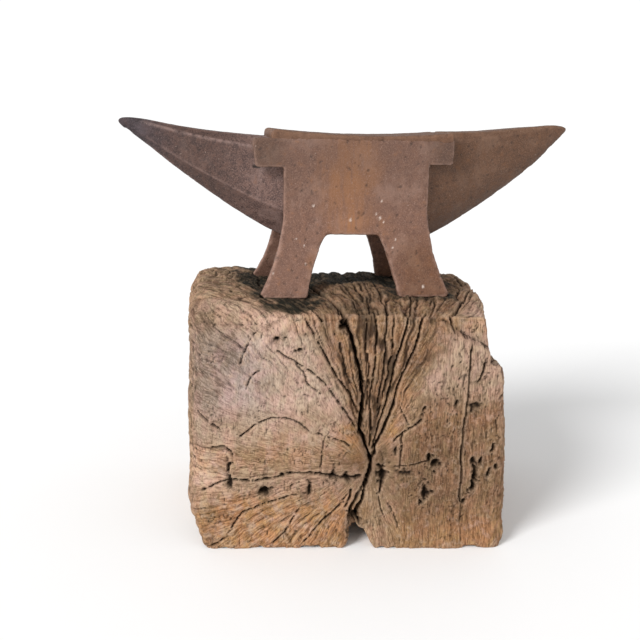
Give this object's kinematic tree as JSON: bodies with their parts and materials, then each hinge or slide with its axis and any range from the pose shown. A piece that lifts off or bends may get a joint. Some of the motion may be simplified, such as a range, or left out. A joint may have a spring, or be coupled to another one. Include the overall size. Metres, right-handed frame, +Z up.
{
  "type": "two-beaked anvil on wood block",
  "caption": "Old forged blacksmith's anvil with one square and one round beak, splayed legs and a worn face, standing loose on a weathered block of tree trunk.",
  "frame": {"origin": "on the ground, at the middle of the whole object's length and depth", "axes": "+X along the anvil towards the round beak, -Y towards the front end grain of the block, +Z up"},
  "size_m": [0.47, 0.249, 0.4163],
  "materials": {
    "weathered_wood": "dry, grey-tan, deeply cracked end grain",
    "core_iron": "dark rusted wrought iron",
    "face_iron": "brown rust, worn smooth",
    "cheek_iron": "purple-brown rust with an orange band, finely pitted",
    "square_beak_iron": "purplish grey-brown rust, finely pitted",
    "round_beak_iron": "orange-brown rust, finely pitted",
    "rivet_iron": "rusted, hammered flush"
  },
  "bodies": {
    "block": {"wood_block": "weathered_wood"},
    "anvil": {"body_core": "core_iron", "face_plate": "face_iron", "front_cheek": "cheek_iron", "rear_cheek": "cheek_iron", "left_beak": "square_beak_iron", "right_beak": "round_beak_iron", "tenon_rivet_left": "rivet_iron", "tenon_rivet_right": "rivet_iron", "arch_rivet_left": "rivet_iron", "arch_rivet_right": "rivet_iron"}
  },
  "joints": [
    {"name": "anvil_lift", "type": "slide", "parent": "block", "child": "anvil", "axis": [0, 0, 1], "range_m": [0, 0.12]}
  ]
}
